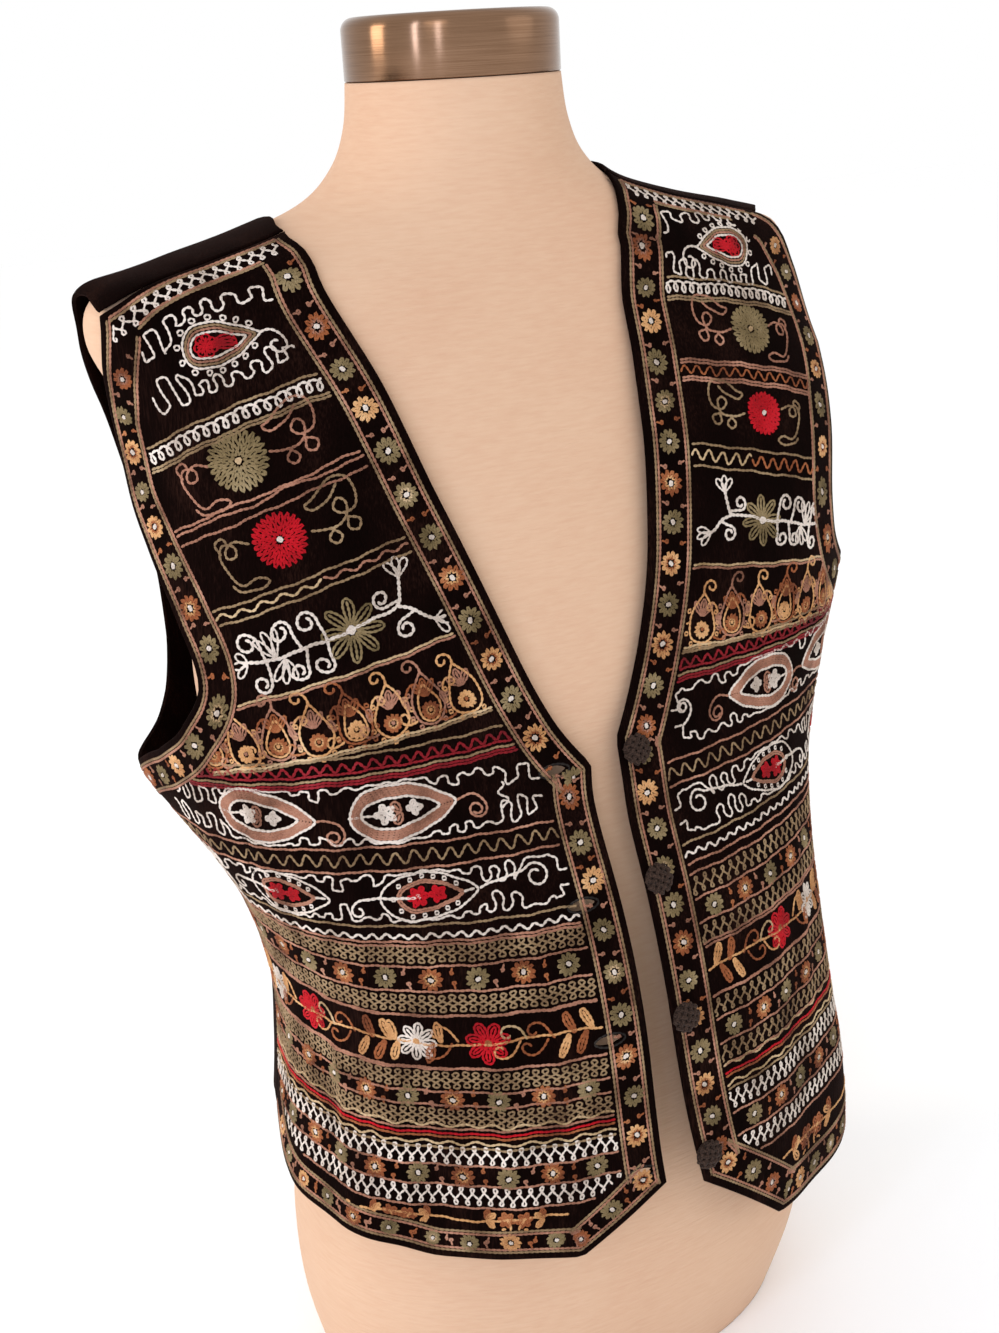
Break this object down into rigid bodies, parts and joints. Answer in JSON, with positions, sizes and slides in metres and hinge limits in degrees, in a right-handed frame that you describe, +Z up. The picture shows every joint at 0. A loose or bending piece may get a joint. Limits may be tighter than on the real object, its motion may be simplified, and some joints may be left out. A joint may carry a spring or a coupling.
{
  "type": "embroidered folk vest on a dress form",
  "caption": "Sleeveless V-neck velvet folk waistcoat with chain-stitch embroidered fronts, open down the front, on a limbless dress form with a steel neck cap.",
  "frame": {"origin": "on the floor under the middle of the whole, at the form's flat base", "axes": "+Z up; the front of the vest faces -Y; +X is towards the wearer's left"},
  "size_m": [0.3941, 0.298, 0.713],
  "materials": {
    "form_jersey": "fine-ribbed cotton jersey stretched over the form",
    "cap_steel": "brushed round the cap",
    "black_velvet": "plain cotton velvet",
    "embroidered_velvet": "cotton velvet covered in chain-stitch embroidery",
    "button_cord": "woven cord over a dome"
  },
  "bodies": {
    "root": {"form_torso": "form_jersey", "neck_cap": "cap_steel", "vest_back": "black_velvet", "vest_front_right": "embroidered_velvet", "vest_front_left": "embroidered_velvet", "button_1": "button_cord", "button_2": "button_cord", "button_3": "button_cord", "button_4": "button_cord"}
  },
  "joints": []
}
